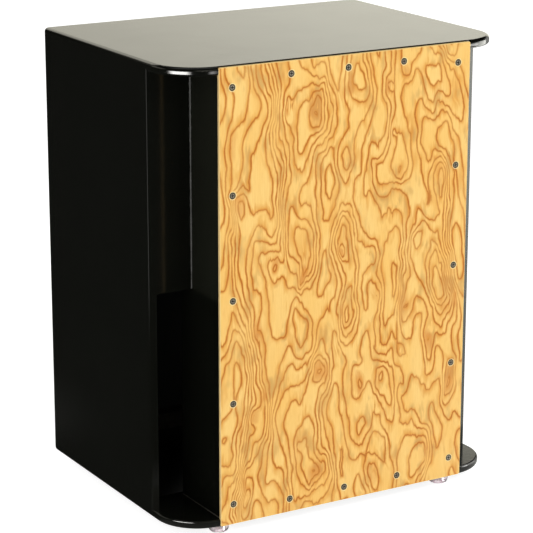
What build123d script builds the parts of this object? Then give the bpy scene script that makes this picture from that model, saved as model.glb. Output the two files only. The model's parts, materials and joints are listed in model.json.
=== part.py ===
from build123d import *
import math
import os

os.makedirs("parts", exist_ok=True)

# Cajon with two forward-facing side ports. Millimetres, +Z up, front towards -Y.
# Origin: centre of the footprint, on the floor under the feet.

# ---------------------------------------------------------------- driving dimensions
BODY_W = 397.0  # overall width of the carcass
HALF_W = BODY_W / 2
REAR_Y = 150.0  # outer face of the back panel
FRONT_Y = -150.0  # front face of the playing surface
FOOT_H = 13.0  # the body stands this far off the floor
BODY_H = 481.0  # outer height of the carcass
Z_BOT = FOOT_H
Z_TOP = FOOT_H + BODY_H
PANEL = 9.0  # carcass board
RABBET = 3.0  # depth of the corner rabbets
HOUSING = 2.0  # depth of the grooves for the inner boards

PLATE_W = 300.0
PLATE_H = 479.0
PLATE_T = 3.0
PLATE_PROUD = 1.0  # the plate stands proud of the ears
PLATE_GAP = 0.25  # side clearance of the plate in its rebate
PLATE_CORNER = 2.0
PLATE_Z0 = Z_BOT + 1.0
PLATE_Z1 = PLATE_Z0 + PLATE_H
PLATE_BACK = FRONT_Y + PLATE_T
EAR_Y = FRONT_Y + PLATE_PROUD

EAR_R = HALF_W - PLATE_W / 2  # quarter-round front corners
REAR_R = 7.0  # upright rear corners
ARRIS = 4.0  # roundover of the outer long edges
EAR_ARRIS = 2.5  # easing of the ears' inner edges

RECESS = 60.0  # setback of the baffles and side panels behind the ears
BAFFLE_Y = EAR_Y + RECESS
PORT_TOP = Z_BOT + BODY_H / 2  # lower edge of the baffles
WALL_X = 149.0  # outer face of the inner walls
WALL_DEPTH = 81.0
WALL_Y1 = PLATE_BACK + WALL_DEPTH

BATTEN = 18.0  # thickness of the front and rear battens
BATTEN_W = 20.0
FLOOR_Z = Z_BOT + PANEL  # inside floor
CEIL_Z = Z_TOP - PANEL  # inside ceiling

SCREW_COL_X = 135.0
SCREW_COL_Z0 = 35.9
SCREW_COL_PITCH = 109.1
SCREW_ROW_X = 67.3
SCREW_ROW_Z_TOP = 479.7
SCREW_ROW_Z_BOT = 28.4
SCREW_HEAD_R = 3.45
SCREW_R = 1.5
SCREW_L = 16.0
SCREW_SINK = 0.15  # heads sit this far below the plate's face
SCREW_LAND = 0.25  # straight rim of the head

FOOT_X = 139.0
FOOT_Y = 125.0
FOOT_R = 11.5
FOOT_FLAT_R = 8.4
FOOT_SCREW_R = 1.75

BAR_Z = 350.0  # underside of the snare bar
BAR_H = 20.0
BAR_T = 18.0
BAR_Y0 = PLATE_BACK + BATTEN
SNARE_X = 62.0  # centre of each snare set
SNARE_W = 56.0
SNARE_N = 10
SNARE_L = 92.0
SNARE_R = 0.8


def save(part, name):
    part.label = name
    export_step(part, f"parts/{name}.step")


def facing_front(points, y):
    """Planes on the front, each with its normal towards the player."""
    return [Plane(origin=(x, y, z), x_dir=(1, 0, 0), z_dir=(0, -1, 0)) for x, z in points]


screw_points = [
    (sx * SCREW_COL_X, SCREW_COL_Z0 + i * SCREW_COL_PITCH)
    for sx in (-1, 1)
    for i in range(5)
] + [
    (i * SCREW_ROW_X, z)
    for z in (SCREW_ROW_Z_BOT, SCREW_ROW_Z_TOP)
    for i in (-1, 0, 1)
]
foot_points = {
    "front_left": (-FOOT_X, -FOOT_Y),
    "front_right": (FOOT_X, -FOOT_Y),
    "rear_left": (-FOOT_X, FOOT_Y),
    "rear_right": (FOOT_X, FOOT_Y),
}


def outline():
    """Plan of the seat and the base: quarter-round ears in front, small rear corners."""
    ear_cy = EAR_Y + EAR_R
    rear_cy = REAR_Y - REAR_R
    with BuildLine() as line:
        Line((-HALF_W + EAR_R, EAR_Y), (HALF_W - EAR_R, EAR_Y))
        RadiusArc((HALF_W - EAR_R, EAR_Y), (HALF_W, ear_cy), -EAR_R)
        Line((HALF_W, ear_cy), (HALF_W, rear_cy))
        RadiusArc((HALF_W, rear_cy), (HALF_W - REAR_R, REAR_Y), -REAR_R)
        Line((HALF_W - REAR_R, REAR_Y), (-HALF_W + REAR_R, REAR_Y))
        RadiusArc((-HALF_W + REAR_R, REAR_Y), (-HALF_W, rear_cy), -REAR_R)
        Line((-HALF_W, rear_cy), (-HALF_W, ear_cy))
        RadiusArc((-HALF_W, ear_cy), (-HALF_W + EAR_R, EAR_Y), -EAR_R)
    return line.line


plan = outline()

# ---------------------------------------------------------------- seat
with BuildPart() as top_panel:
    with BuildSketch(Plane.XY.offset(CEIL_Z)):
        add(plan)
        make_face()
    extrude(amount=PANEL)
    fillet(top_panel.faces().sort_by(Axis.Z)[-1].edges(), radius=ARRIS)
    # rabbets for the side panels and the back panel
    with BuildSketch(Plane.XY.offset(CEIL_Z)):
        with Locations(
            (-HALF_W + PANEL / 2, (BAFFLE_Y + REAR_Y) / 2),
            (HALF_W - PANEL / 2, (BAFFLE_Y + REAR_Y) / 2),
        ):
            Rectangle(PANEL, REAR_Y - BAFFLE_Y)
        with Locations((0, REAR_Y - PANEL / 2)):
            Rectangle(BODY_W, PANEL)
    extrude(amount=RABBET, mode=Mode.SUBTRACT)
    # rebate for the playing surface
    with BuildSketch(Plane.XY.offset(CEIL_Z)):
        with Locations((0, (EAR_Y - 5 + PLATE_BACK) / 2)):
            Rectangle(PLATE_W + 2 * PLATE_GAP, PLATE_BACK - EAR_Y + 5)
    extrude(amount=PANEL, mode=Mode.SUBTRACT)
    # grooves for the inner walls and the baffles
    with BuildSketch(Plane.XY.offset(CEIL_Z)):
        with Locations(
            (-WALL_X + PANEL / 2, (PLATE_BACK + WALL_Y1) / 2),
            (WALL_X - PANEL / 2, (PLATE_BACK + WALL_Y1) / 2),
        ):
            Rectangle(PANEL, WALL_Y1 - PLATE_BACK)
        with Locations(
            ((HALF_W - PANEL + WALL_X) / 2, BAFFLE_Y + PANEL / 2),
            (-(HALF_W - PANEL + WALL_X) / 2, BAFFLE_Y + PANEL / 2),
        ):
            Rectangle(HALF_W - PANEL - WALL_X, PANEL)
    extrude(amount=HOUSING, mode=Mode.SUBTRACT)
    # easing of the ears' lower edge
    fillet(
        top_panel.edges()
        .filter_by(GeomType.CIRCLE)
        .filter_by(lambda e: abs(e.center().Z - CEIL_Z) < 0.01 and abs(e.radius - EAR_R) < 0.01),
        radius=EAR_ARRIS,
    )
save(top_panel.part, "top_panel")

# ---------------------------------------------------------------- base
with BuildPart() as bottom_panel:
    with BuildSketch(Plane.XY.offset(Z_BOT)):
        add(plan)
        make_face()
    extrude(amount=PANEL)
    fillet(bottom_panel.faces().sort_by(Axis.Z)[0].edges(), radius=ARRIS)
    with BuildSketch(Plane.XY.offset(FLOOR_Z)):
        with Locations(
            (-HALF_W + PANEL / 2, (BAFFLE_Y + REAR_Y) / 2),
            (HALF_W - PANEL / 2, (BAFFLE_Y + REAR_Y) / 2),
        ):
            Rectangle(PANEL, REAR_Y - BAFFLE_Y)
        with Locations((0, REAR_Y - PANEL / 2)):
            Rectangle(BODY_W, PANEL)
    extrude(amount=-RABBET, mode=Mode.SUBTRACT)
    with BuildSketch(Plane.XY.offset(Z_BOT)):
        with Locations((0, (EAR_Y - 5 + PLATE_BACK) / 2)):
            Rectangle(PLATE_W + 2 * PLATE_GAP, PLATE_BACK - EAR_Y + 5)
    extrude(amount=PANEL, mode=Mode.SUBTRACT)
    with BuildSketch(Plane.XY.offset(FLOOR_Z)):
        with Locations(
            (-WALL_X + PANEL / 2, (PLATE_BACK + WALL_Y1) / 2),
            (WALL_X - PANEL / 2, (PLATE_BACK + WALL_Y1) / 2),
        ):
            Rectangle(PANEL, WALL_Y1 - PLATE_BACK)
    extrude(amount=-HOUSING, mode=Mode.SUBTRACT)
    fillet(
        bottom_panel.edges()
        .filter_by(GeomType.CIRCLE)
        .filter_by(lambda e: abs(e.center().Z - FLOOR_Z) < 0.01 and abs(e.radius - EAR_R) < 0.01),
        radius=EAR_ARRIS,
    )
    # pilot holes for the foot screws
    with BuildSketch(Plane.XY.offset(Z_BOT)):
        with Locations(*foot_points.values()):
            Circle(FOOT_SCREW_R)
    extrude(amount=6.6, mode=Mode.SUBTRACT)
save(bottom_panel.part, "bottom_panel")

# ---------------------------------------------------------------- sides and back
side_z0, side_z1 = FLOOR_Z - RABBET, CEIL_Z + RABBET
for name, sx in (("left_side_panel", -1), ("right_side_panel", 1)):
    with BuildPart() as side:
        with BuildSketch(Plane.XY.offset(side_z0)):
            with Locations((sx * (HALF_W - PANEL / 2), (BAFFLE_Y + REAR_Y) / 2)):
                Rectangle(PANEL, REAR_Y - BAFFLE_Y)
        extrude(amount=side_z1 - side_z0)
        outer = side.edges().filter_by(Axis.Z).filter_by(lambda e: abs(e.center().X) > HALF_W - 0.1)
        fillet(outer.sort_by(Axis.Y)[-1], radius=REAR_R)
        outer = side.edges().filter_by(Axis.Z).filter_by(lambda e: abs(e.center().X) > HALF_W - 0.1)
        fillet(outer.sort_by(Axis.Y)[0], radius=1.5)
    save(side.part, name)

with BuildPart() as back_panel:
    with BuildSketch(Plane.XY.offset(side_z0)):
        with Locations((0, REAR_Y - PANEL / 2)):
            Rectangle(BODY_W - 2 * PANEL, PANEL)
    extrude(amount=side_z1 - side_z0)
save(back_panel.part, "back_panel")

# ---------------------------------------------------------------- port boards
for name, sx in (("left_baffle", -1), ("right_baffle", 1)):
    with BuildPart() as baffle:
        with BuildSketch(Plane.XY.offset(PORT_TOP)):
            with Locations((sx * (HALF_W - PANEL + WALL_X) / 2, BAFFLE_Y + PANEL / 2)):
                Rectangle(HALF_W - PANEL - WALL_X, PANEL)
        extrude(amount=CEIL_Z + HOUSING - PORT_TOP)
        # eased lower edge of the board, the top lip of the port
        fillet(
            baffle.faces().sort_by(Axis.Z)[0].edges().filter_by(Axis.X),
            radius=1.2,
        )
    save(baffle.part, name)

for name, sx in (("left_inner_wall", -1), ("right_inner_wall", 1)):
    with BuildPart() as wall:
        with BuildSketch(Plane.XY.offset(FLOOR_Z - HOUSING)):
            with Locations((sx * (WALL_X - PANEL / 2), (PLATE_BACK + WALL_Y1) / 2)):
                Rectangle(PANEL, WALL_Y1 - PLATE_BACK)
        extrude(amount=CEIL_Z - FLOOR_Z + 2 * HOUSING)
    save(wall.part, name)

# ---------------------------------------------------------------- front frame behind the plate
pilot_planes = facing_front(screw_points, PLATE_BACK)
BATTEN_X0 = WALL_X - PANEL - BATTEN_W

for name, sx in (("left_front_batten", -1), ("right_front_batten", 1)):
    with BuildPart() as batten:
        with BuildSketch(Plane.XY.offset(FLOOR_Z)):
            with Locations((sx * (BATTEN_X0 + BATTEN_W / 2), PLATE_BACK + BATTEN / 2)):
                Rectangle(BATTEN_W, BATTEN)
        extrude(amount=CEIL_Z - FLOOR_Z)
        with Locations(*[p for p, q in zip(pilot_planes, screw_points) if q[0] * sx > 100]):
            Hole(SCREW_R, depth=SCREW_L - PLATE_T)
        # holes for the two screws of the snare bar
        with Locations(
            Plane(origin=(sx * (BATTEN_X0 + 10), BAR_Y0, BAR_Z + BAR_H / 2), x_dir=(1, 0, 0), z_dir=(0, 1, 0))
        ):
            Hole(2.0, depth=13.0)
    save(batten.part, name)

for name, z0, row in (
    ("top_front_batten", CEIL_Z - BATTEN, SCREW_ROW_Z_TOP),
    ("bottom_front_batten", FLOOR_Z, SCREW_ROW_Z_BOT),
):
    with BuildPart() as batten:
        with BuildSketch(Plane.XY.offset(z0)):
            with Locations((0, PLATE_BACK + BATTEN / 2)):
                Rectangle(2 * BATTEN_X0, BATTEN)
        extrude(amount=BATTEN)
        with Locations(*[p for p, q in zip(pilot_planes, screw_points) if q[1] == row]):
            Hole(SCREW_R, depth=SCREW_L - PLATE_T)
    save(batten.part, name)

# ---------------------------------------------------------------- rear frame
rear_y0 = REAR_Y - PANEL - BATTEN
in_x = HALF_W - PANEL
for name, sx in (("left_rear_batten", -1), ("right_rear_batten", 1)):
    with BuildPart() as batten:
        with BuildSketch(Plane.XY.offset(FLOOR_Z)):
            with Locations((sx * (in_x - BATTEN / 2), rear_y0 + BATTEN / 2)):
                Rectangle(BATTEN, BATTEN)
        extrude(amount=CEIL_Z - FLOOR_Z)
        chamfer(
            batten.edges().filter_by(Axis.Z).sort_by(lambda e: abs(e.center().X) + e.center().Y)[0],
            length=4.0,
        )
    save(batten.part, name)

for name, z0 in (("top_rear_batten", CEIL_Z - BATTEN), ("bottom_rear_batten", FLOOR_Z)):
    with BuildPart() as batten:
        with BuildSketch(Plane.XY.offset(z0)):
            with Locations((0, rear_y0 + BATTEN / 2)):
                Rectangle(2 * (in_x - BATTEN), BATTEN)
        extrude(amount=BATTEN)
    save(batten.part, name)

# ---------------------------------------------------------------- playing surface
with BuildPart() as front_plate:
    with BuildSketch(Plane(origin=(0, PLATE_BACK, (PLATE_Z0 + PLATE_Z1) / 2), x_dir=(1, 0, 0), z_dir=(0, -1, 0))):
        RectangleRounded(PLATE_W, PLATE_H, PLATE_CORNER)
    extrude(amount=PLATE_T)
    chamfer(front_plate.faces().sort_by(Axis.Y)[0].edges(), length=0.4)
    with Locations(*facing_front(screw_points, FRONT_Y)):
        CounterSinkHole(
            SCREW_R + 0.2,
            SCREW_HEAD_R + SCREW_SINK + SCREW_LAND,
            depth=PLATE_T,
            counter_sink_angle=90,
        )
save(front_plate.part, "front_plate")

# countersunk cross-recess screw, head flush with local Z = 0, point towards -Z
with BuildPart() as plate_screw:
    with BuildSketch(Plane.XZ):
        with BuildLine():
            Polyline(
                (0, -SCREW_SINK),
                (SCREW_HEAD_R - 0.25, -SCREW_SINK),
                (SCREW_HEAD_R, -SCREW_SINK - 0.12),
                (SCREW_HEAD_R, -SCREW_SINK - SCREW_LAND),
                (SCREW_R, -SCREW_SINK - SCREW_LAND - (SCREW_HEAD_R - SCREW_R)),
                (SCREW_R, -SCREW_L + 3.0),
                (0.25, -SCREW_L + 0.4),
                (0, -SCREW_L + 0.4),
                close=True,
            )
        make_face()
    revolve(axis=Axis.Z)
    with BuildSketch(Plane.XY.offset(-SCREW_SINK)):
        Rectangle(3.9, 0.85)
        Rectangle(0.85, 3.9)
    extrude(amount=-1.5, taper=14, mode=Mode.SUBTRACT)

with BuildPart() as front_plate_screws:
    with Locations(*facing_front(screw_points, FRONT_Y)):
        add(plate_screw.part)
save(front_plate_screws.part, "front_plate_screws")

# ---------------------------------------------------------------- snare system
with BuildPart() as snare_bar:
    with BuildSketch(Plane.XY.offset(BAR_Z)):
        with Locations((0, BAR_Y0 + BAR_T / 2)):
            Rectangle(2 * (WALL_X - PANEL), BAR_T)
    extrude(amount=BAR_H)
    with Locations(
        *[
            Plane(origin=(sx * (BATTEN_X0 + 10), BAR_Y0 + BAR_T, BAR_Z + BAR_H / 2), x_dir=(1, 0, 0), z_dir=(0, 1, 0))
            for sx in (-1, 1)
        ]
    ):
        CounterSinkHole(2.0, 4.2, depth=BAR_T, counter_sink_angle=90)
    # pilot holes for the clamp plates
    with Locations(
        *facing_front(
            [(sx * SNARE_X + dx, BAR_Z + 6.0) for sx in (-1, 1) for dx in (-18, 18)],
            BAR_Y0,
        )
    ):
        Hole(1.25, depth=10.0)
save(snare_bar.part, "snare_bar")

with BuildPart() as bar_screw:
    with BuildSketch(Plane.XZ):
        with BuildLine():
            Polyline(
                (0, -0.1),
                (3.9, -0.1),
                (3.9, -0.3),
                (1.95, -2.25),
                (1.95, -27.0),
                (0.3, -30.0),
                (0, -30.0),
                close=True,
            )
        make_face()
    revolve(axis=Axis.Z)
    with BuildSketch(Plane.XY.offset(-0.1)):
        Rectangle(4.4, 0.95)
        Rectangle(0.95, 4.4)
    extrude(amount=-1.7, taper=14, mode=Mode.SUBTRACT)

with BuildPart() as snare_bar_screws:
    with Locations(
        *[
            Plane(origin=(sx * (BATTEN_X0 + 10), BAR_Y0 + BAR_T, BAR_Z + BAR_H / 2), x_dir=(1, 0, 0), z_dir=(0, 1, 0))
            for sx in (-1, 1)
        ]
    ):
        add(bar_screw.part)
save(snare_bar_screws.part, "snare_bar_screws")

# felt strip on the front of the bar
FELT_T = 2.0
with BuildPart() as snare_damper:
    with BuildSketch(Plane(origin=(0, BAR_Y0, BAR_Z + BAR_H / 2), x_dir=(1, 0, 0), z_dir=(0, -1, 0))):
        Rectangle(2 * BATTEN_X0 - 4, BAR_H)
    extrude(amount=FELT_T)
    with Locations(
        *facing_front(
            [(sx * SNARE_X + dx, BAR_Z + 6.0) for sx in (-1, 1) for dx in (-18, 18)],
            BAR_Y0 - FELT_T,
        )
    ):
        Hole(1.45, depth=FELT_T)
save(snare_damper.part, "snare_damper")

# clamp plates: thin steel, screwed through the felt into the bar
CLAMP_T = 1.0
CLAMP_Y = BAR_Y0 - FELT_T
for name, sx in (("left_snare_plate", -1), ("right_snare_plate", 1)):
    with BuildPart() as clamp:
        with BuildSketch(Plane(origin=(sx * SNARE_X, CLAMP_Y, BAR_Z + 8.0), x_dir=(1, 0, 0), z_dir=(0, -1, 0))):
            RectangleRounded(SNARE_W, 14.0, 2.0)
        extrude(amount=CLAMP_T)
        with Locations(*facing_front([(sx * SNARE_X + dx, BAR_Z + 6.0) for dx in (-18, 18)], CLAMP_Y - CLAMP_T)):
            Hole(1.6, depth=CLAMP_T)
    save(clamp.part, name)

# each strand leaves the clamp plate and leans forward until it touches the back of the plate
lean_y0 = CLAMP_Y - CLAMP_T - SNARE_R
lean_y1 = PLATE_BACK + SNARE_R
for name, sx in (("left_snare_wires", -1), ("right_snare_wires", 1)):
    with BuildPart() as wires:
        for i in range(SNARE_N):
            x = sx * SNARE_X + (i - (SNARE_N - 1) / 2) * (SNARE_W - 6) / (SNARE_N - 1)
            start = (x, lean_y0, BAR_Z + 10.2)
            bend = (x, lean_y0, BAR_Z + 18.0)
            tip = (x, lean_y1, BAR_Z + 18.0 + SNARE_L)
            with BuildLine() as path:
                FilletPolyline(start, bend, tip, radius=12.0)
            with BuildSketch(Plane(origin=start, z_dir=(0, 0, 1))):
                Circle(SNARE_R)
            sweep(path=path.line)
    save(wires.part, name)

with BuildPart() as clamp_screw:
    with BuildSketch(Plane.XZ):
        with BuildLine():
            Polyline(
                (0, 1.7),
                (1.6, 1.4),
                (2.5, 0.6),
                (2.6, 0.0),
                (1.25, 0.0),
                (1.25, -10.0),
                (0.2, -12.0),
                (0, -12.0),
                close=True,
            )
        make_face()
    revolve(axis=Axis.Z)
    with BuildSketch(Plane.XY.offset(1.8)):
        Rectangle(2.6, 0.6)
        Rectangle(0.6, 2.6)
    extrude(amount=-1.1, mode=Mode.SUBTRACT)

with BuildPart() as snare_plate_screws:
    with Locations(
        *facing_front(
            [(sx * SNARE_X + dx, BAR_Z + 6.0) for sx in (-1, 1) for dx in (-18, 18)],
            CLAMP_Y - CLAMP_T,
        )
    ):
        add(clamp_screw.part)
save(snare_plate_screws.part, "snare_plate_screws")

# ---------------------------------------------------------------- feet
for key, (fx, fy) in foot_points.items():
    with BuildPart() as foot:
        with BuildSketch(Plane(origin=(fx, fy, 0), x_dir=(1, 0, 0), z_dir=(0, -1, 0))):
            with BuildLine():
                Line((FOOT_SCREW_R + 0.3, FOOT_H), (FOOT_R, FOOT_H))
                Line((FOOT_R, FOOT_H), (FOOT_R, FOOT_H - 3.0))
                Spline(
                    (FOOT_R, FOOT_H - 3.0),
                    (FOOT_R - 0.5, FOOT_H - 8.2),
                    (FOOT_FLAT_R + 1.3, 0.75),
                    (FOOT_FLAT_R, 0),
                    tangents=((0, -1), (-1, -0.04)),
                )
                Line((FOOT_FLAT_R, 0), (4.8, 0))
                Line((4.8, 0), (4.8, 6.0))
                Line((4.8, 6.0), (FOOT_SCREW_R + 0.3, 6.0))
                Line((FOOT_SCREW_R + 0.3, 6.0), (FOOT_SCREW_R + 0.3, FOOT_H))
            make_face()
        revolve(axis=Axis((fx, fy, 0), (0, 0, 1)))
    save(foot.part, f"{key}_foot")

with BuildPart() as foot_washers:
    with BuildSketch(Plane.XY.offset(5.0)):
        with Locations(*foot_points.values()):
            Circle(4.6)
            Circle(FOOT_SCREW_R + 0.2, mode=Mode.SUBTRACT)
    extrude(amount=1.0)
save(foot_washers.part, "foot_washers")

with BuildPart() as foot_screw:
    with BuildSketch(Plane.XZ):
        with BuildLine():
            Polyline(
                (0, 2.6),
                (1.8, 2.8),
                (3.1, 3.7),
                (3.4, 5.0),
                (FOOT_SCREW_R, 5.0),
                (FOOT_SCREW_R, 17.5),
                (0.3, 19.4),
                (0, 19.4),
                close=True,
            )
        make_face()
    revolve(axis=Axis.Z)
    with BuildSketch(Plane.XY.offset(2.5)):
        Rectangle(3.4, 0.8)
        Rectangle(0.8, 3.4)
    extrude(amount=1.4, mode=Mode.SUBTRACT)

with BuildPart() as foot_screws:
    with Locations(*foot_points.values()):
        add(foot_screw.part)
save(foot_screws.part, "foot_screws")
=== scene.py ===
import json
import math
import random

import bmesh
import bpy
from mathutils import Matrix, Vector

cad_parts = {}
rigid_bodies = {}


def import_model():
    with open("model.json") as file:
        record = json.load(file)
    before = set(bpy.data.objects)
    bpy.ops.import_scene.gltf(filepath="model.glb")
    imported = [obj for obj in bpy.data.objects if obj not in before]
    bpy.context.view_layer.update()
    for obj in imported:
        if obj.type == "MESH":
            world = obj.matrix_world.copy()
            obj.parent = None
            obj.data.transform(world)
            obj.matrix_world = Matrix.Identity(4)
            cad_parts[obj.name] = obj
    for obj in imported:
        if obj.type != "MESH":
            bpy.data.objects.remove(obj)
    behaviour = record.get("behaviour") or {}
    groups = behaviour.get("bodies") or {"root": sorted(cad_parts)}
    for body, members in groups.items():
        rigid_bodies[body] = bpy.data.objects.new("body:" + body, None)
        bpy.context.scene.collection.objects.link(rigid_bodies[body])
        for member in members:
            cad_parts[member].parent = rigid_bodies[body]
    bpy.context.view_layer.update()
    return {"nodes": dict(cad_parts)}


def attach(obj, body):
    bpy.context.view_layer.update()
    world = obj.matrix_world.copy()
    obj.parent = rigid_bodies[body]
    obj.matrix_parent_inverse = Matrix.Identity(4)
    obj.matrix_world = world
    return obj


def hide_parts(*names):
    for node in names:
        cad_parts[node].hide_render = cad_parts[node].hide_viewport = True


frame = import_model()
nodes = frame["nodes"]
for m in list(bpy.data.materials):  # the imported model's plain finishes make way for the ones below
    m.name = "plain_" + m.name
scene = bpy.context.scene
MM = 0.001
scene.view_settings.view_transform = "Standard"
scene.view_settings.look = "None"

# ------------------------------------------------------------------ camera
cam_data = bpy.data.cameras.new("camera")
cam_data.sensor_fit = "HORIZONTAL"
cam_data.sensor_width = 36.0
cam_data.lens = 149.75
cam_data.clip_end = 60.0
cam = bpy.data.objects.new("camera", cam_data)
scene.collection.objects.link(cam)
right = Vector((0.86091773, -0.50874312, 0.00104696))
up = Vector((0.13644378, 0.2328778, 0.96288682))
back = Vector((-0.49010586, -0.82882348, 0.26990346))
rot = Matrix((right, up, back)).transposed()
cam.matrix_world = Matrix.Translation((-1.19303, -2.00514, 0.88918)) @ rot.to_4x4()
scene.camera = cam


# ------------------------------------------------------------------ small helpers for node trees
class Tree:
    """Builds one material's nodes; each method returns an output socket."""

    def __init__(self, name):
        self.mat = bpy.data.materials.new(name)
        self.mat.use_nodes = True
        self.nt = self.mat.node_tree
        for n in list(self.nt.nodes):
            self.nt.nodes.remove(n)
        self.out = self.nt.nodes.new("ShaderNodeOutputMaterial")

    def node(self, kind, **props):
        n = self.nt.nodes.new(kind)
        for k, v in props.items():
            setattr(n, k, v)
        return n

    def put(self, socket, value):
        if hasattr(value, "links") and hasattr(value, "is_output"):
            self.nt.links.new(value, socket)
        elif value is not None:
            socket.default_value = value

    def math(self, op, a, b=None, c=None, clamp=False):
        n = self.node("ShaderNodeMath", operation=op, use_clamp=clamp)
        for i, v in enumerate((a, b, c)):
            if v is not None:
                self.put(n.inputs[i], v)
        return n.outputs[0]

    def vmath(self, op, a, b=None, scale=None):
        n = self.node("ShaderNodeVectorMath", operation=op)
        self.put(n.inputs[0], a)
        if b is not None:
            self.put(n.inputs[1], b)
        if scale is not None:
            self.put(n.inputs["Scale"], scale)
        return n.outputs["Value"] if op in ("LENGTH", "DOT_PRODUCT", "DISTANCE") else n.outputs[0]

    @staticmethod
    def flat(v):
        return (v, v, v)

    def vmadd2(self, a, b, c):
        """a * b + c, lane by lane."""
        n = self.node("ShaderNodeVectorMath", operation="MULTIPLY_ADD")
        for i, v in enumerate((a, b, c)):
            self.put(n.inputs[i], v)
        return n.outputs[0]

    def vmadd(self, a, k, c):
        return self.vmadd2(a, (k, k, k), c)

    def vspan(self, v, a, b, lo, hi):
        """A smooth step from a to b in every lane."""
        n = self.node("ShaderNodeMapRange", data_type="FLOAT_VECTOR", interpolation_type="SMOOTHSTEP", clamp=False)
        self.put(n.inputs["Vector"], v)
        names = ("From_Min_FLOAT3", "From_Max_FLOAT3", "To_Min_FLOAT3", "To_Max_FLOAT3")
        found = {i.identifier: i for i in n.inputs}
        for k, x in zip(names, (a, b, lo, hi)):
            found[k].default_value = (x, x, x)
        return n.outputs["Vector"]

    def coords(self):
        return self.node("ShaderNodeTexCoord").outputs["Object"]

    def split(self, v):
        n = self.node("ShaderNodeSeparateXYZ")
        self.put(n.inputs[0], v)
        return n.outputs[0], n.outputs[1], n.outputs[2]

    def join(self, x=0.0, y=0.0, z=0.0):
        n = self.node("ShaderNodeCombineXYZ")
        for i, v in enumerate((x, y, z)):
            self.put(n.inputs[i], v)
        return n.outputs[0]

    def noise(self, v, scale, detail=2.0, rough=0.5, dist=0.0, colour=False, lac=2.0):
        n = self.node("ShaderNodeTexNoise")
        self.put(n.inputs["Vector"], v)
        n.inputs["Scale"].default_value = scale
        n.inputs["Detail"].default_value = detail
        n.inputs["Roughness"].default_value = rough
        n.inputs["Lacunarity"].default_value = lac
        n.inputs["Distortion"].default_value = dist
        return n.outputs[1 if colour else 0]

    def voronoi(self, v, scale, feature="F1", randomness=1.0):
        n = self.node("ShaderNodeTexVoronoi", feature=feature)
        self.put(n.inputs["Vector"], v)
        n.inputs["Scale"].default_value = scale
        n.inputs["Randomness"].default_value = randomness
        return n.outputs[0]

    def span(self, v, a, b, lo=0.0, hi=1.0, smooth=True):
        n = self.node("ShaderNodeMapRange", interpolation_type="SMOOTHSTEP" if smooth else "LINEAR", clamp=not smooth)
        self.put(n.inputs[0], v)
        for i, x in enumerate((a, b, lo, hi)):
            self.put(n.inputs[i + 1], x)
        return n.outputs[0]

    def mix(self, f, a, b, mode="MIX"):
        n = self.node("ShaderNodeMix", data_type="RGBA", blend_type=mode)
        self.put(n.inputs[0], f)
        for s, v in ((n.inputs[6], a), (n.inputs[7], b)):
            if isinstance(v, (tuple, list)):
                v = (*v[:3], 1.0)
            self.put(s, v)
        return n.outputs[2]

    def mixf(self, f, a, b):
        n = self.node("ShaderNodeMix", data_type="FLOAT")
        self.put(n.inputs[0], f)
        self.put(n.inputs[2], a)
        self.put(n.inputs[3], b)
        return n.outputs[0]

    def ramp(self, f, stops):
        n = self.node("ShaderNodeValToRGB")
        el = n.color_ramp.elements
        while len(el) < len(stops):
            el.new(0.5)
        for e, (p, c) in zip(el, stops):
            e.position = p
            e.color = (*c, 1.0)
        self.put(n.inputs[0], f)
        return n.outputs[0]

    def bump(self, height, strength, distance, normal=None):
        n = self.node("ShaderNodeBump")
        n.inputs["Strength"].default_value = strength
        n.inputs["Distance"].default_value = distance
        self.put(n.inputs["Height"], height)
        if normal is not None:
            self.put(n.inputs["Normal"], normal)
        return n.outputs[0]

    def shader(self, **sockets):
        n = self.node("ShaderNodeBsdfPrincipled")
        for k, v in sockets.items():
            if isinstance(v, (tuple, list)) and len(v) == 3 and "Color" in k.replace("_", " "):
                v = (*v, 1.0)
            self.put(n.inputs[k.replace("_", " ")], v)
        self.nt.links.new(n.outputs[0], self.out.inputs[0])
        return n


def srgb(r, g, b):
    def f(c):
        c /= 255.0
        return c / 12.92 if c <= 0.04045 else ((c + 0.055) / 1.055) ** 2.4

    return (f(r), f(g), f(b))


# ------------------------------------------------------------------ materials
def black_lacquer(name="black_lacquer", inner=None, painted_light_above=None):
    """Gloss black polyurethane over MDF; `inner` is a function that gives a mask for faces left matt inside the body.
    Above the height in mm given last, the colour is painted a lighter grey: a painted reflection."""
    t = Tree(name)
    p = t.vmath("SCALE", t.coords(), scale=1000.0)  # millimetres
    cloud = t.noise(p, 0.018, 3.0, 0.6)
    dust = t.voronoi(p, 0.16)
    speck = t.span(dust, 0.035, 0.02)
    fine = t.noise(p, 1.1, 3.0, 0.65)
    col = t.mix(cloud, srgb(9, 10, 7), srgb(14, 15, 11))
    if painted_light_above is not None:
        # painted reflection: the colour turns a lighter grey above the given height
        col = t.mix(t.span(t.split(p)[2], painted_light_above - 2.0, painted_light_above + 3.0), col, t.mix(cloud, srgb(21, 22, 17), srgb(26, 27, 21)))
    col = t.mix(t.math("MULTIPLY", speck, 0.10), col, srgb(120, 120, 112))
    rough = t.math("ADD", t.span(cloud, 0.3, 0.7, 0.105, 0.125), t.math("MULTIPLY", fine, 0.02))
    rough = t.math("ADD", rough, t.math("MULTIPLY", speck, 0.25))
    peel = t.noise(p, 0.22, 2.0, 0.5)
    h = t.math("ADD", t.math("MULTIPLY", peel, 1.0), t.math("MULTIPLY", speck, 0.12))
    if inner is not None:
        m = inner(t)
        grain = t.noise(p, 2.2, 4.0, 0.7)
        col = t.mix(m, col, t.mix(grain, srgb(3, 3, 3), srgb(9, 8, 7)))
        rough = t.mixf(m, rough, t.span(grain, 0.3, 0.7, 0.82, 0.95))
        h = t.mixf(m, h, t.math("MULTIPLY", grain, 0.8))
    t.shader(
        Base_Color=col,
        Roughness=rough,
        IOR=1.5,
        Normal=t.bump(h, 0.35, 0.00012),
    )
    return t.mat


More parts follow.
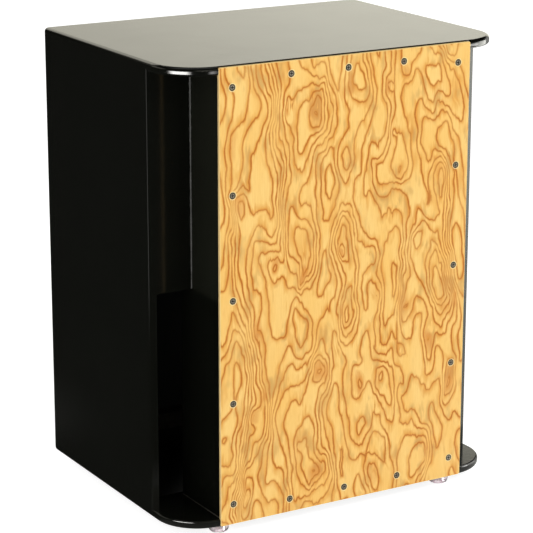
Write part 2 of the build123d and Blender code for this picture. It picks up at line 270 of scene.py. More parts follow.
def position(t):
    return t.split(t.vmath("SCALE", t.coords(), scale=1000.0))


def band(t, v, lo, hi, soft=0.2):
    """1 where lo < v < hi."""
    a = t.span(v, lo - soft, lo + soft)
    b = t.span(v, hi - soft, hi + soft)
    return t.math("MULTIPLY", a, t.math("SUBTRACT", 1.0, b))


def inside_body(t):
    """Faces that look into the sound chamber, well back from the ports."""
    x, y, z = position(t)
    m = band(t, t.math("ABSOLUTE", x), -1.0, 189.8)
    m = t.math("MULTIPLY", m, band(t, z, 21.6, 485.4))
    return t.math("MULTIPLY", m, band(t, y, -60.0, 141.2, 0.5))


lacquer = black_lacquer()
lacquer_in = black_lacquer("black_lacquer_boards", inside_body)
for n in ("top_panel", "bottom_panel", "left_side_panel", "right_side_panel", "back_panel", "left_baffle", "right_baffle", "left_inner_wall", "right_inner_wall"):
    nodes[n].data.materials.clear()
    nodes[n].data.materials.append(lacquer_in)
# the inner walls carry a painted reflection, a lighter grey above the tops of the ports
lacquer_walls = black_lacquer("black_lacquer_walls", inside_body, painted_light_above=253.5)
for n in ("left_inner_wall", "right_inner_wall"):
    nodes[n].data.materials.clear()
    nodes[n].data.materials.append(lacquer_walls)

# Figure of the rotary-cut face veneer. Each row is one swirl where the cut runs through a dome or a dip of the
# growth rings: centre x, z, half width, half height (mm), lean (degrees), rings, warmth of its heart.
SWIRLS = [
    # x, z, half width, half height (mm), lean (deg), rings, warmth of the heart
    (-36, 438, 30, 58, 12, 3.6, 0.55),
    (-73, 446, 8, 26, 0, 1.0, 0.9),
    (3, 462, 16, 34, 0, 1.8, 0.6),
    (47, 451, 11, 26, 0, 1.7, 0.8),
    (69, 470, 12, 30, 0, 1.6, 0.6),
    (119, 446, 34, 66, 22, 3.0, 0.1),
    (54, 409, 7, 15, 0, 0.9, 0.3),
    (65, 363, 17, 26, 0, 1.4, 0.1),
    (34, 374, 12, 38, 10, 1.3, 0.2),
    (0, 380, 22, 38, 0, 1.8, 0.2),
    (117, 352, 20, 48, 12, 2.0, 0.3),
    (-128, 350, 16, 34, 10, 2.2, 0.6),
    (-134, 412, 14, 50, -4, 1.6, 0.5),
    (-54, 288, 38, 84, 0, 4.4, 0.2),
    (-54, 270, 11, 22, 0, 1.4, 1.0),
    (-87, 284, 15, 34, 0, 2.2, 0.9),
    (-4, 290, 22, 62, 0, 2.6, 0.3),
    (-6, 288, 6, 20, 0, 1.0, 1.0),
    (30, 282, 20, 32, 0, 1.8, 0.0),
    (84, 292, 26, 40, -12, 2.2, 0.1),
    (73, 218, 19, 56, 0, 3.0, 0.5),
    (125, 226, 30, 84, 4, 3.4, 0.3),
    (34, 232, 15, 40, 14, 1.6, 0.3),
    (0, 214, 20, 50, 0, 3.0, 0.1),
    (-29, 160, 30, 40, 0, 3.0, 0.8),
    (17, 140, 12, 28, 0, 1.8, 0.8),
    (43, 148, 15, 36, 0, 2.2, 0.2),
    (73, 140, 14, 36, 0, 1.8, 0.1),
    (-111, 130, 14, 22, 0, 1.8, 0.7),
    (-104, 222, 16, 34, 0, 1.4, 0.8),
    (-60, 84, 22, 66, 0, 2.8, 0.3),
    (-36, 52, 26, 34, 0, 2.4, 0.8),
    (100, 48, 22, 46, 0, 2.6, 0.2),
    (132, 128, 14, 52, 0, 2.2, 0.7),
    (-122, 40, 16, 46, 0, 2.2, 0.2),
    (36, 38, 22, 34, 0, 2.2, 0.5),
    (22, 96, 16, 40, 0, 1.6, 0.1),
    (106, 176, 12, 34, 0, 1.4, 0.9),
]


def warp(t, p):
    """Slow drift of the rings, and fibre bundles that pull them up and down."""
    drift = t.vmath("SUBTRACT", t.noise(p, 0.016, 1.0, colour=True), (0.5, 0.5, 0.5))
    wave = t.vmath("SUBTRACT", t.noise(t.vmath("MULTIPLY", p, (0.075, 0.035, 1.0)), 1.0, 1.5, 0.5, colour=True), (0.5, 0.5, 0.5))
    q = t.vmath("ADD", p, t.vmath("MULTIPLY", drift, (16, 20, 0)))
    q = t.vmath("ADD", q, t.vmath("MULTIPLY", wave, (9, 26, 0)))
    fibre = t.noise(t.vmath("MULTIPLY", p, (0.24, 0.02, 1.0)), 1.0, 1.5, 0.5)
    return t.vmath("ADD", q, t.join(0.0, t.math("MULTIPLY", t.math("SUBTRACT", fibre, 0.5), 4.5), 0.0))


def ring_field(t, points):
    """Growth-ring height at three neighbouring points of the face, one to a lane, and the warmth of the swirls' hearts.
    Each point holds x and z in mm. The neighbours give the slope, so that ring lines keep one width."""
    base, xs, zs = [], [], []
    for p in points:
        q = warp(t, p)
        slow = t.noise(t.vmath("MULTIPLY", q, (0.020, 0.0060, 1.0)), 1.0, 1.0, 0.5)
        x, z, _ = t.split(q)
        run = t.math("ADD", t.span(x, -152, -64, 0.0, 9.0), t.span(x, 100, 160, 0.0, -1.2))
        base.append(t.math("MULTIPLY_ADD", slow, 16.0, run))
        xs.append(x)
        zs.append(z)
    h, x, z = t.join(*base), t.join(*xs), t.join(*zs)
    warm = None
    for cx, cz, a, b, lean, rings, heart in SWIRLS:
        c, s = math.cos(math.radians(lean)), math.sin(math.radians(lean))
        # lean tips the swirl's top towards -x
        u = t.vmadd(x, c / a, t.flat(-(cx * c + cz * s) / a))
        u = t.vmadd(z, s / a, u)
        v = t.vmadd(x, -s / b, t.flat((cx * s - cz * c) / b))
        v = t.vmadd(z, c / b, v)
        r2 = t.vmadd2(v, v, t.vmath("MULTIPLY", u, u))
        r = t.vmath("POWER", r2, t.flat(0.5))
        h = t.vmath("ADD", h, t.vspan(r, 1.0, -0.25, 0.0, rings * 1.28))
        if heart:
            w = t.vspan(r2, 0.2, 0.02, 0.0, heart)
            warm = w if warm is None else t.vmath("MAXIMUM", warm, w)
    return h, t.split(warm)[0]


def to_screw(t, x, z):
    """Distance on the face to the nearest front screw: columns of five at one pitch, and rows of three between them."""
    ax = t.math("ABSOLUTE", x)
    dz = t.math("SUBTRACT", t.math("PINGPONG", t.math("ADD", z, 18.65), 54.55), 54.55)
    column = t.vmath("LENGTH", t.join(t.math("SUBTRACT", ax, 135.0), dz, 0.0))
    ez = t.math("MINIMUM", t.math("ABSOLUTE", t.math("SUBTRACT", z, 28.4)), t.math("ABSOLUTE", t.math("SUBTRACT", z, 479.7)))
    row = t.vmath("LENGTH", t.join(t.math("PINGPONG", ax, 33.65), ez, 0.0))
    return t.math("MINIMUM", column, t.math("ADD", row, t.span(ax, 80.0, 81.0, 0.0, 50.0)))


def burl_veneer():
    t = Tree("burl_veneer")
    x, y, z = position(t)
    p = t.join(x, z, 0.0)
    e = 0.5
    hs, warm = ring_field(t, (p, t.vmath("ADD", p, (e, 0, 0)), t.vmath("ADD", p, (0, e, 0))))
    h, hx, hz = t.split(hs)
    gx = t.math("DIVIDE", t.math("SUBTRACT", hx, h), e)
    gz = t.math("DIVIDE", t.math("SUBTRACT", hz, h), e)
    g = t.math("SQRT", t.math("ADD", t.math("MULTIPLY", gx, gx), t.math("MULTIPLY", gz, gz)))
    g = t.math("MAXIMUM", g, 0.012)
    k = t.math("FRACT", h)
    up = t.math("DIVIDE", t.math("SUBTRACT", 1.0, k), g)  # mm to the next ring line
    down = t.math("DIVIDE", k, g)  # mm past the last one
    d = t.math("MINIMUM", up, down)
    share = t.math("MINIMUM", k, t.math("SUBTRACT", 1.0, k))  # the same distance as a part of the ring's width
    slack = t.span(g, 0.32, 0.10, 0.25, 1.0)  # wide rings shade more than tight ones

    streak = t.noise(t.vmath("MULTIPLY", p, (0.9, 0.035, 1.0)), 1.0, 3.0, 0.6)
    fine = t.noise(t.vmath("MULTIPLY", p, (3.2, 0.12, 1.0)), 1.0, 2.0, 0.6)
    patch = t.noise(t.vmath("MULTIPLY", p, (0.030, 0.012, 1.0)), 1.0, 2.0, 0.5)
    blot = t.noise(t.vmath("MULTIPLY", p, (0.085, 0.030, 1.0)), 1.0, 2.0, 0.55)
    cloud = t.noise(t.vmath("MULTIPLY", t.vmath("ADD", p, (310, 70, 0)), (0.075, 0.028, 1.0)), 1.0, 2.0, 0.5)
    pale = t.noise(t.vmath("MULTIPLY", p, (0.05, 0.02, 1.0)), 1.0, 2.0, 0.5)
    pen = t.noise(p, 0.30, 2.0, 0.6)

    honey = t.mix(t.span(patch, 0.3, 0.7), srgb(255, 216, 148), srgb(252, 204, 126))
    honey = t.mix(t.span(streak, 0.25, 0.75, 0.0, 0.45), honey, srgb(242, 190, 110))
    # late wood deepens towards each ring line
    late = t.math("MULTIPLY", t.math("MULTIPLY", t.span(up, 10.0, 0.0), slack), t.span(blot, 0.35, 0.65, 0.1, 0.9))
    col = t.mix(late, honey, srgb(230, 164, 78))
    # grey-brown smudges and warm hearts
    smoke = t.math("MULTIPLY", t.span(cloud, 0.50, 0.72), t.span(d, 13.0, 0.5))
    col = t.mix(t.math("MULTIPLY", smoke, 0.75), col, srgb(206, 158, 96))
    ember = t.math("MULTIPLY", t.span(blot, 0.60, 0.78), t.span(up, 7.0, 0.0))
    col = t.mix(t.math("MULTIPLY", ember, 0.7), col, srgb(214, 134, 56))
    col = t.mix(t.math("MULTIPLY", warm, 0.65), col, srgb(216, 136, 60))
    near = t.math("MAXIMUM", t.math("DIVIDE", d, 3.3), t.math("DIVIDE", share, 0.38))
    tan = t.math("MULTIPLY", t.span(near, 1.0, 0.05), t.span(pale, 0.3, 0.7, 0.95, 0.35))
    col = t.mix(tan, col, srgb(228, 152, 50))
    # the ring line itself
    w = t.span(pen, 0.3, 0.7, 1.0, 1.6)
    line = t.span(t.math("DIVIDE", d, w), 1.15, 0.0)
    col = t.mix(t.math("MULTIPLY", line, t.math("MULTIPLY", t.span(pale, 0.3, 0.7, 0.92, 0.5), t.span(g, 0.36, 0.22, 0.4, 1.0))), col, srgb(186, 100, 4))
    col = t.mix(t.span(fine, 0.45, 0.8, 0.0, 0.18), col, srgb(214, 158, 84))
    # cut rims of the countersinks
    hole = to_screw(t, x, z)
    ring = t.math("MULTIPLY", t.span(hole, 3.3, 3.5), t.span(hole, 4.7, 4.0))
    col = t.mix(t.math("MULTIPLY", ring, 0.8), col, srgb(255, 234, 196))
    # painted highlight: a pale band along the face's arris; plies on the sawn edge, plain rotary-cut back
    rim = t.math("MAXIMUM", t.math("SUBTRACT", t.math("ABSOLUTE", x), 150.0), t.math("SUBTRACT", t.math("ABSOLUTE", t.math("SUBTRACT", z, 253.5)), 239.5))
    col = t.mix(t.span(rim, -0.9, -0.35, 0.0, 0.75), col, srgb(255, 226, 170))
    ply = t.mix(band(t, y, -149.0, -148.0, 0.08), srgb(250, 224, 182), srgb(226, 182, 132))
    ply = t.mix(t.span(fine, 0.3, 0.7, 0.0, 0.3), ply, srgb(190, 150, 106))
    col = t.mix(t.math("MULTIPLY", t.span(rim, -0.12, -0.02), t.span(y, -149.8, -149.6)), col, ply)
    plain = t.mix(t.span(streak, 0.3, 0.7), srgb(222, 188, 140), srgb(196, 156, 108))
    col = t.mix(t.span(y, -147.15, -147.05), col, plain)
    col = t.mix(1.0, col, (0.888, 0.876, 0.662), "MULTIPLY")  # tint of the clear coat
    t.shader(Base_Color=col, Roughness=t.span(fine, 0.3, 0.7, 0.30, 0.40), IOR=1.5, Normal=t.bump(fine, 0.25, 0.0001))
    return t.mat


def zinc(name="zinc_plated", shade_depth_y=None):
    """Zinc-plated steel with turning marks and grime; the second argument is the depth past which a screw's cross
    recess gets painted shade, and the head's rim a painted shadow ring.
    """
    t = Tree(name)
    p = t.vmath("SCALE", t.coords(), scale=1000.0)
    x, y, z = t.split(p)
    tarnish = t.noise(p, 0.9, 3.0, 0.6)
    scratch = t.noise(t.vmath("MULTIPLY", p, (6.0, 2.0, 0.7)), 1.0, 3.0, 0.65)
    col = t.mix(tarnish, srgb(204, 196, 178), srgb(156, 148, 128))
    col = t.mix(t.span(scratch, 0.5, 0.75, 0.0, 0.5), col, srgb(104, 100, 92))
    rough = t.span(tarnish, 0.3, 0.7, 0.24, 0.42)
    if shade_depth_y is not None:
        recess_painted_shade = t.span(y, shade_depth_y, shade_depth_y + 0.3)
        # painted shadow: a dark brown ring round each front screw head's rim, where it sits in the countersink
        col = t.mix(t.span(to_screw(t, x, z), 1.95, 2.75, 0.0, 0.9), col, srgb(58, 50, 38))
        # painted shade: near-black deep in the cross recess
        col = t.mix(recess_painted_shade, col, srgb(4, 3, 3))
        rough = t.mixf(recess_painted_shade, rough, 0.7)
    t.shader(Base_Color=col, Metallic=0.55, Roughness=rough, Normal=t.bump(scratch, 0.3, 0.00005))
    return t.mat


def drawn_steel(name="drawn_steel"):
    t = Tree(name)
    p = t.vmath("SCALE", t.coords(), scale=1000.0)
    brush = t.noise(t.vmath("MULTIPLY", p, (0.5, 4.0, 8.0)), 1.0, 3.0, 0.6)
    stain = t.noise(p, 0.25, 3.0, 0.6)
    col = t.mix(stain, srgb(206, 206, 202), srgb(168, 167, 162))
    col = t.mix(t.span(brush, 0.5, 0.8, 0.0, 0.4), col, srgb(120, 119, 115))
    t.shader(Base_Color=col, Metallic=1.0, Roughness=t.span(brush, 0.3, 0.7, 0.2, 0.38), Normal=t.bump(brush, 0.2, 0.00003))
    return t.mat


def softwood(name, along, light, dark, stain=0.0):
    """Planed softwood; `along` is the axis (0, 1 or 2) the grain follows."""
    t = Tree(name)
    p = t.vmath("SCALE", t.coords(), scale=1000.0)
    squeeze = [1.0, 1.0, 1.0]
    squeeze[along] = 0.035
    q = t.vmath("MULTIPLY", p, tuple(squeeze))
    wander = t.noise(q, 0.12, 2.0, 0.5)
    a, b = [t.split(q)[i] for i in range(3) if i != along]
    rings = t.math("FRACT", t.math("ADD", t.math("MULTIPLY", t.math("ADD", a, t.math("MULTIPLY", b, 0.45)), 0.28), t.math("MULTIPLY", wander, 5.0)))
    late = t.math("MULTIPLY", t.span(rings, 0.35, 0.95), t.span(rings, 1.0, 0.96))
    fibre = t.noise(q, 2.4, 3.0, 0.65)
    pore = t.noise(q, 5.5, 2.0, 0.6)
    col = t.mix(late, light, dark)
    col = t.mix(t.span(fibre, 0.4, 0.8, 0.0, 0.35), col, dark)
    col = t.mix(t.span(pore, 0.62, 0.8, 0.0, 0.4), col, tuple(c * 0.55 for c in dark))
    if stain:
        mist = t.noise(p, 0.35, 4.0, 0.7)
        col = t.mix(t.span(mist, 0.2, 0.8, stain, min(1.0, stain + 0.05)), col, srgb(13, 13, 12))
    h = t.math("ADD", fibre, t.math("MULTIPLY", late, 0.6))
    t.shader(Base_Color=col, Roughness=t.span(fibre, 0.3, 0.7, 0.55, 0.75), IOR=1.45, Normal=t.bump(h, 0.4, 0.0002))
    return t.mat


def felt_black():
    t = Tree("black_felt")
    p = t.vmath("SCALE", t.coords(), scale=1000.0)
    fuzz = t.noise(p, 1.6, 5.0, 0.75, dist=1.2)
    lint = t.noise(t.vmath("MULTIPLY", p, (1.0, 3.0, 0.4)), 1.3, 3.0, 0.7, dist=2.0)
    col = t.mix(fuzz, srgb(22, 22, 22), srgb(54, 53, 51))
    col = t.mix(t.span(lint, 0.62, 0.8, 0.0, 0.5), col, srgb(92, 90, 86))
    t.shader(Base_Color=col, Roughness=0.95, IOR=1.4, Sheen_Weight=0.35, Sheen_Roughness=0.5, Normal=t.bump(fuzz, 0.8, 0.0005))
    return t.mat


def soft_rubber():
    """Translucent polyurethane foot, faintly lilac, with a cloudy core and a moulded skin."""
    t = Tree("clear_rubber_foot")
    p = t.vmath("SCALE", t.coords(), scale=1000.0)
    x, y, z = t.split(p)
    mist = t.noise(p, 0.16, 3.0, 0.6)
    skin = t.noise(p, 0.9, 2.0, 0.5)
    col = t.mix(mist, srgb(255, 244, 247), srgb(247, 226, 233))
    # darker and pinker towards the bottom of the foot, with greyer mottling in the lowest millimetre
    col = t.mix(t.span(z, 1.6, 0.0, 0.0, 0.3), col, srgb(210, 178, 188))
    base_darkening = t.math("MULTIPLY", t.span(z, 0.9, 0.0), t.span(t.noise(p, 0.7, 3.0, 0.6), 0.4, 0.7))
    col = t.mix(t.math("MULTIPLY", base_darkening, 0.3), col, srgb(140, 128, 124))
    t.shader(
        Base_Color=col,
        Roughness=t.span(skin, 0.3, 0.7, 0.08, 0.18),
        IOR=1.42,
        Transmission_Weight=0.72,
        Subsurface_Weight=0.6,
        Subsurface_Radius=(0.009, 0.008, 0.009),
        Subsurface_Scale=1.0,
        Coat_Weight=0.6,
        Coat_Roughness=0.05,
        Normal=t.bump(skin, 0.15, 0.0001),
    )
    return t.mat


def paint(names, mat):
    for n in names.split():
        nodes[n].data.materials.clear()
        nodes[n].data.materials.append(mat)


pine = (srgb(226, 190, 140), srgb(186, 138, 84))
paint("front_plate", burl_veneer())
paint("front_plate_screws", zinc("zinc_screws_front", -149.72))
paint("snare_bar_screws snare_plate_screws foot_washers foot_screws", zinc())
paint("left_snare_plate right_snare_plate", drawn_steel())
paint("left_front_batten right_front_batten", softwood("pine_upright", 2, *pine))
paint("top_front_batten bottom_front_batten snare_bar", softwood("pine_rail", 0, *pine))
paint("left_rear_batten right_rear_batten", softwood("black_pine_upright", 2, *pine, stain=0.93))
paint("top_rear_batten bottom_rear_batten", softwood("black_pine_rail", 0, *pine, stain=0.93))
paint("snare_damper", felt_black())
paint("front_left_foot front_right_foot rear_left_foot rear_right_foot", soft_rubber())


# ------------------------------------------------------------------ coiled snare strands
def snare_set(name, node, sx):
    """Ten coiled strands: bright wire wound into a long spring that leaves the clamp plate and leans on the playing face."""
    wire, coil, pitch, sides, steps = 0.22, 0.56, 1.15, 6, 12
    bm = bmesh.new()
    for i in range(10):
        x = sx * 62.0 + (i - 4.5) * 50.0 / 9
        pts = [Vector((x, -132.8, 360.4)), Vector((x, -132.8, 366.2)), Vector((x, -133.05, 369.8)), Vector((x, -146.05, 459.8))]
        length = [0.0]
        for a, b in zip(pts, pts[1:]):
            length.append(length[-1] + (b - a).length)
        count = int(length[-1] / pitch * steps)
        phase = i * 1.7
        loops = []
        for k in range(count + 1):
            s = length[-1] * k / count
            j = max(q for q in range(3) if length[q] <= s + 1e-9)
            f = (s - length[j]) / (length[j + 1] - length[j])
            c = pts[j].lerp(pts[j + 1], f)
            d = (pts[j + 1] - pts[j]).normalized()
            e1 = Vector((1, 0, 0))
            e2 = d.cross(e1)
            w = phase + 2 * math.pi * s / pitch
            out = e1 * math.cos(w) + e2 * math.sin(w)
            run = (e1 * -math.sin(w) + e2 * math.cos(w)) * coil * 2 * math.pi / pitch + d
            run.normalize()
            centre = c + out * coil
            side = run.cross(out)
            loops.append([bm.verts.new((centre + out * (wire * math.cos(v)) + side * (wire * math.sin(v))) * MM) for v in (2 * math.pi * m / sides for m in range(sides))])
        for a, b in zip(loops, loops[1:]):
            for m in range(sides):
                bm.faces.new((a[m], a[(m + 1) % sides], b[(m + 1) % sides], b[m]))
        bm.faces.new(loops[0][::-1])
        bm.faces.new(loops[-1])
    bmesh.ops.recalc_face_normals(bm, faces=bm.faces)
    me = bpy.data.meshes.new(name)
    bm.to_mesh(me)
    bm.free()
    for f in me.polygons:
        f.use_smooth = True
    ob = bpy.data.objects.new(name, me)
    scene.collection.objects.link(ob)
    me.materials.append(coil_steel)
    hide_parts(node)
    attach(ob, "root")
    return ob


coil_steel = drawn_steel("coiled_wire")
snare_set("left_snare_coils", "left_snare_wires", -1)
snare_set("right_snare_coils", "right_snare_wires", 1)


# ------------------------------------------------------------------ lacquer bead in the corner between baffle and inner wall
def corner_bead(name, sx):
    """A thin uneven fillet where lacquer has pooled, from the top of the port up to the seat."""
    rng = random.Random(7 if sx < 0 else 8)
    bm = bmesh.new()
    rows, arc = 240, 7
    z0, z1 = 253.6, 484.98
    grid = []
    r = 1.2
    for i in range(rows + 1):
        z = z0 + (z1 - z0) * i / rows
        r += (1.15 - r) * 0.15 + rng.uniform(-0.12, 0.12)
        r = min(1.6, max(0.8, r))
        cx, cy = sx * (149.0 + r), -89.0 - r
        line = []
        for k in range(arc + 1):
            a = math.pi / 2 * k / arc
            px = cx - sx * r * math.cos(a)
            py = cy + r * math.sin(a)
            line.append(bm.verts.new((px * MM, py * MM, z * MM)))
        line.append(bm.verts.new((sx * 149.0 * MM, -89.0 * MM, z * MM)))
        grid.append(line)
    n = arc + 2
    for a, b in zip(grid, grid[1:]):
        for k in range(n):
            bm.faces.new((a[k], a[(k + 1) % n], b[(k + 1) % n], b[k]))
    bm.faces.new(grid[0])
    bm.faces.new(grid[-1][::-1])
    bmesh.ops.recalc_face_normals(bm, faces=bm.faces)
    me = bpy.data.meshes.new(name)
    bm.to_mesh(me)
    bm.free()
    for f in me.polygons:
        f.use_smooth = len(f.vertices) == 4
    ob = bpy.data.objects.new(name, me)
    scene.collection.objects.link(ob)
    me.materials.append(lacquer)
    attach(ob, "root")
    return ob


corner_bead("left_corner_bead", -1)
corner_bead("right_corner_bead", 1)


def bead_painted_reflection():
    """Lacquer for the bead in the corner, painted a paler mottled grey as a painted reflection, and duller than the
    faces.
    """
    t = Tree("bead_painted_reflection")
    p = t.vmath("SCALE", t.coords(), scale=1000.0)
    lint = t.noise(p, 0.9, 3.0, 0.7)
    drift = t.noise(p, 0.07, 2.0, 0.5)
    # painted reflection: pale grey mottling in place of the light that the bead catches
    col = t.mix(t.span(lint, 0.35, 0.65), srgb(34, 34, 30), srgb(82, 79, 70))
    col = t.mix(t.span(drift, 0.42, 0.6, 0.0, 0.85), col, srgb(20, 20, 17))
    t.shader(Base_Color=col, Roughness=t.span(lint, 0.3, 0.7, 0.45, 0.75), Normal=t.bump(lint, 0.4, 0.00008))
    return t.mat


def foot_bead(name, sx, mat):
    """A thin bead of pooled lacquer where the inner wall stands on the bottom panel, the length of the port."""
    rng = random.Random(11 if sx < 0 else 12)
    bm = bmesh.new()
    rows, arc = 120, 6
    y0, y1 = -146.9, -66.2
    grid = []
    r = 0.8
    for i in range(rows + 1):
        y = y0 + (y1 - y0) * i / rows
        r += (0.8 - r) * 0.2 + rng.uniform(-0.08, 0.08)
        r = min(1.05, max(0.55, r))
        line = []
        for k in range(arc + 1):
            a = math.pi / 2 * k / arc
            px = sx * (149.0 + r - r * math.cos(a))
            pz = 22.0 + r - r * math.sin(a)
            line.append(bm.verts.new((px * MM, y * MM, pz * MM)))
        line.append(bm.verts.new((sx * 149.0 * MM, y * MM, 22.0 * MM)))
        grid.append(line)
    n = arc + 2
    for a, b in zip(grid, grid[1:]):
        for k in range(n):
            bm.faces.new((a[k], a[(k + 1) % n], b[(k + 1) % n], b[k]))
    bm.faces.new(grid[0])
    bm.faces.new(grid[-1][::-1])
    bmesh.ops.recalc_face_normals(bm, faces=bm.faces)
    me = bpy.data.meshes.new(name)
    bm.to_mesh(me)
    bm.free()
    for f in me.polygons:
        f.use_smooth = len(f.vertices) == 4
    me.materials.append(mat)
    ob = bpy.data.objects.new(name, me)
    scene.collection.objects.link(ob)
    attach(ob, "root")
    return ob


# the beads at the foot of the inner walls carry a painted reflection
pooled = bead_painted_reflection()
foot_bead("left_foot_bead", -1, pooled)
foot_bead("right_foot_bead", 1, pooled)


# ------------------------------------------------------------------ stage and light
def glow(name, colour, strength, fade=None, soft=None, rise=None, clear=False):
    """A light panel; `fade` = (axis, from, to, low) darkens it along one axis of its own space,
    `soft` = (half width, half height, share across, share up) dims it towards its rim, `rise` is a second `fade`,
    and a `clear` panel lets through the light of the panels behind it."""
    t = Tree(name)
    e = t.node("ShaderNodeEmission")
    e.inputs[0].default_value = (*colour, 1.0)
    x, y, _ = t.split(t.coords())
    v = strength
    if rise:
        axis, a, b, low = rise
        v = t.span((x, y)[axis], a, b, low * strength, strength)
        strength = 1.0
    if fade:
        axis, a, b, low = fade
        v = t.math("MULTIPLY", t.span((x, y)[axis], a, b, low * strength, strength), v if rise else 1.0)
    if soft:
        w, h, sx, sy = soft
        fx = t.span(t.math("ABSOLUTE", x), w, w * (1 - sx))
        fy = t.span(t.math("ABSOLUTE", y), h, h * (1 - sy))
        v = t.math("MULTIPLY", t.math("MULTIPLY", fx, fy), v)
    t.put(e.inputs[1], v)
    last = e
    if clear:
        last = t.node("ShaderNodeAddShader")
        t.nt.links.new(e.outputs[0], last.inputs[0])
        t.nt.links.new(t.node("ShaderNodeBsdfTransparent").outputs[0], last.inputs[1])
    t.nt.links.new(last.outputs[0], t.out.inputs[0])
    return t.mat


def toward(az, el, dist, at=(0.0, 0.0, 0.3)):
    """A point seen from `at` under that azimuth (0 in front, 90 on the right) and elevation."""
    a, e = math.radians(az), math.radians(el)
    return Vector(at) + dist * Vector((math.sin(a) * math.cos(e), -math.cos(a) * math.cos(e), math.sin(e)))


def card(name, az, el, dist, width, height, mat, at=(0.0, 0.0, 0.3), only=None):
    """A light panel; `only` names the pieces it may be reflected in."""
    me = bpy.data.meshes.new(name)
    w, h = width / 2, height / 2
    me.from_pydata([(-w, -h, 0), (w, -h, 0), (w, h, 0), (-w, h, 0)], [], [(0, 1, 2, 3)])
    me.materials.append(mat)
    ob = bpy.data.objects.new(name, me)
    ob.location = toward(az, el, dist, at)
    ob.rotation_euler = (Vector(at) - ob.location).to_track_quat("Z", "Y").to_euler()
    scene.collection.objects.link(ob)
    ob.visible_camera = False
    ob.visible_diffuse = False
    ob.visible_shadow = False
    ob.visible_transmission = False
    if only:
        lit = bpy.data.collections.new(name + "_lights")
        for piece in scene.objects:
            if piece.type == "MESH" and piece.name in only.split():
                lit.objects.link(piece)
        ob.light_linking.receiver_collection = lit
    return ob


def area(name, az, el, dist, size, power, colour=(1, 1, 1), glossy=False):
    d = bpy.data.lights.new(name, "AREA")
    d.shape = "DISK"
    d.size = size
    d.energy = power
    d.color = colour
    o = bpy.data.objects.new(name, d)
    o.location = toward(az, el, dist)
    o.rotation_euler = (Vector((0, 0, 0.25)) - o.location).to_track_quat("-Z", "Y").to_euler()
    scene.collection.objects.link(o)
    o.visible_camera = False
    o.visible_glossy = glossy
    return o


def sweep(name, z, mat):
    me = bpy.data.meshes.new(name)
    me.from_pydata([(-12, -12, z), (12, -12, z), (12, 12, z), (-12, 12, z)], [], [(0, 1, 2, 3)])
    me.materials.append(mat)
    ob = bpy.data.objects.new(name, me)
    scene.collection.objects.link(ob)
    return ob


# pale sweep that the object stands on, lit from under like a glass table so that shadows stay faint
floor_t = Tree("studio_floor")
floor_t.shader(Base_Color=(0.72, 0.72, 0.72), Roughness=0.9, Specular_IOR_Level=0.0, Emission_Color=(1, 1, 1), Emission_Strength=0.87)
floor = sweep("floor", 0.0, floor_t.mat)
floor.visible_glossy = False
# what the gloss lacquer sees below the horizon: a dark studio
def floor_glow():
    """Dark in front of the plate and on its left, paler on the right of the object and behind it."""
    t = Tree("dark_studio")
    e = t.node("ShaderNodeEmission")
    e.inputs[0].default_value = (1.0, 1.0, 0.94, 1.0)
    x, y, _ = t.split(t.coords())
    right = t.math("MULTIPLY", t.span(x, 0.12, 0.20), t.span(x, 2.6, 0.6, 0.25, 1.0))
    right = t.math("MULTIPLY", right, t.span(y, -0.55, -0.15))
    back = t.math("MULTIPLY", t.span(y, 0.16, 0.5), t.span(y, 3.0, 0.5, 0.2, 1.0))
    back = t.math("MULTIPLY", back, t.span(x, -0.35, 0.0))
    ear = t.vmath("LENGTH", t.join(t.math("ADD", x, 0.150), t.math("ADD", y, 0.100), 0.0))
    ear = t.math("MULTIPLY", t.span(ear, 0.20, 0.07, 0.0, 0.27), t.span(y, -0.05, -0.12))
    t.put(e.inputs[1], t.math("ADD", 0.02, t.math("MULTIPLY", 0.75, t.math("MAXIMUM", t.math("MAXIMUM", right, back), ear))))
    t.nt.links.new(e.outputs[0], t.out.inputs[0])
    return t.mat


dark = sweep("dark_sweep", -0.002, floor_glow())
dark.visible_camera = False
dark.visible_diffuse = False
dark.visible_transmission = False
dark.visible_shadow = False

world = bpy.data.worlds.new("studio")
scene.world = world
world.use_nodes = True
wn = world.node_tree
wn.nodes["Background"].inputs[0].default_value = (1.0, 0.985, 0.955, 1)
wn.nodes["Background"].inputs[1].default_value = 0.42
world.cycles_visibility.glossy = False  # gloss lacquer sees only the panels below

area("key", 20, 38, 3.2, 1.8, 41)
area("fill_left", -70, 25, 3.4, 1.6, 14)

warm_white = (1.0, 0.97, 0.82)
cool_white = (1.0, 0.99, 0.95)
slabs = "top_panel bottom_panel"
fronts = "left_baffle right_baffle left_inner_wall right_inner_wall left_corner_bead right_corner_bead"
sides = "left_side_panel right_side_panel back_panel"
left_at = (-0.184, -0.135, 0.36)
# the big panels behind, seen in the seat and its arris
card("back_card", 140, 9.0, 4.2, 5.0, 1.5, glow("back_glow", warm_white, 1.4, (0, -1.76, -0.1, 0.66), rise=(1, 0.68, 0.46, 0.45)))
card("behind_card", 178, 25, 4.3, 3.0, 2.2, glow("behind_glow", warm_white, 1.5, soft=(1.5, 1.1, 0.3, 0.5)), at=(0, 0, 0.49))
# panels on the left: one for the rounded ears, dimmer ones for the upright edges
card("left_softbox", -65, 0, 0.72, 0.90, 0.30, glow("left_glow", cool_white, 26.0, soft=(0.45, 0.15, 0.62, 0.2), clear=True), at=(-0.184, -0.135, 0.335), only=slabs)
card("left_low", -65, 0, 0.74, 0.90, 0.90, glow("left_low_glow", cool_white, 3.3, soft=(0.45, 0.45, 0.5, 0.3), clear=True), at=left_at, only=fronts)
card("left_edge", -65, 0, 0.76, 0.90, 0.90, glow("left_edge_glow", cool_white, 1.0, soft=(0.45, 0.45, 0.5, 0.3), clear=True), at=left_at, only=sides)
card("front_strip", 14, 0, 1.25, 0.56, 0.44, glow("front_glow", cool_white, 5.0, soft=(0.28, 0.22, 0.9, 0.3), clear=True), at=(-0.157, -0.149, 0.26), only="top_panel")
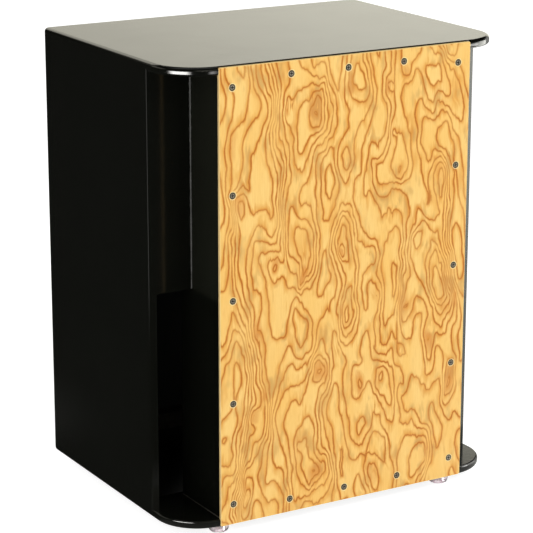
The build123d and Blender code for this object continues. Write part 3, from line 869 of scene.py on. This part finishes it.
# a low panel seen in the front of the right upper ear
card("right_ear_card", 44, -10, 1.0, 1.04, 0.16, glow("right_ear_glow", cool_white, 8.0, soft=(0.52, 0.08, 0.6, 0.4), clear=True), at=(0.15, -0.147, 0.4935), only="top_panel")
# panels on the right: ears and the edge of the side panel
card("right_softbox", 66, 15, 1.30, 1.5, 0.8, glow("right_glow", cool_white, 4.0, soft=(0.75, 0.4, 1.0, 0.4)), at=(0.19, -0.12, 0.08), only=slabs + " " + fronts + " " + sides)
card("right_wall", 100, 14, 1.9, 1.7, 1.3, glow("right_wall_glow", cool_white, 0.9, soft=(0.85, 0.65, 0.4, 0.5)), at=(0.19, -0.12, 0.1))
card("edge_strip", 35.9, 0, 0.12, 0.14, 0.51, glow("edge_glow", (1.0, 1.0, 0.93), 6.4, (1, -0.24, 0.2, 0.40)), at=(0.2472, -0.0504, 0.2545))
card("ceiling", 0, 90, 2.6, 3.4, 3.0, glow("ceiling_glow", cool_white, 0.75, fade=(1, -0.75, 0.75, 0.25), soft=(1.7, 1.5, 0.5, 0.5)))
# a small kicker for the right lower ear's upper arris
card("ear_kicker", 58, 18, 0.8, 0.42, 0.34, glow("ear_kick_glow", cool_white, 12.0, soft=(0.21, 0.17, 0.7, 0.3), clear=True), at=(0.165, -0.14, 0.02), only="bottom_panel")
# strips on the sweep that put an upright streak on each front foot
for side, fx in (("left", -0.139), ("right", 0.139)):
    turn = math.radians(13)
    strip = card(side + "_foot_strip", 0, -90, 0.0082, 0.0075, 0.034, glow(side + "_foot_glow", (1.0, 0.97, 0.98), 20.0, soft=(0.00375, 0.017, 0.5, 0.3), clear=True), at=(fx + 0.0295 * math.sin(turn), -0.125 - 0.0295 * math.cos(turn), 0.007), only="front_left_foot front_right_foot")
    strip.rotation_euler = (0, 0, math.pi + turn)
# dim panels round the rest of the studio, seen in the seat from the other sides
card("left_back_card", -128, 22, 4.4, 4.6, 2.2, glow("left_back_glow", warm_white, 0.8, soft=(2.3, 1.1, 0.5, 0.7)), at=(0, 0, 0.49))
card("front_card", 0, 21, 5.4, 6.4, 2.6, glow("front_card_glow", warm_white, 0.9, soft=(3.2, 1.3, 0.35, 0.7)), at=(0, 0, 0.49))
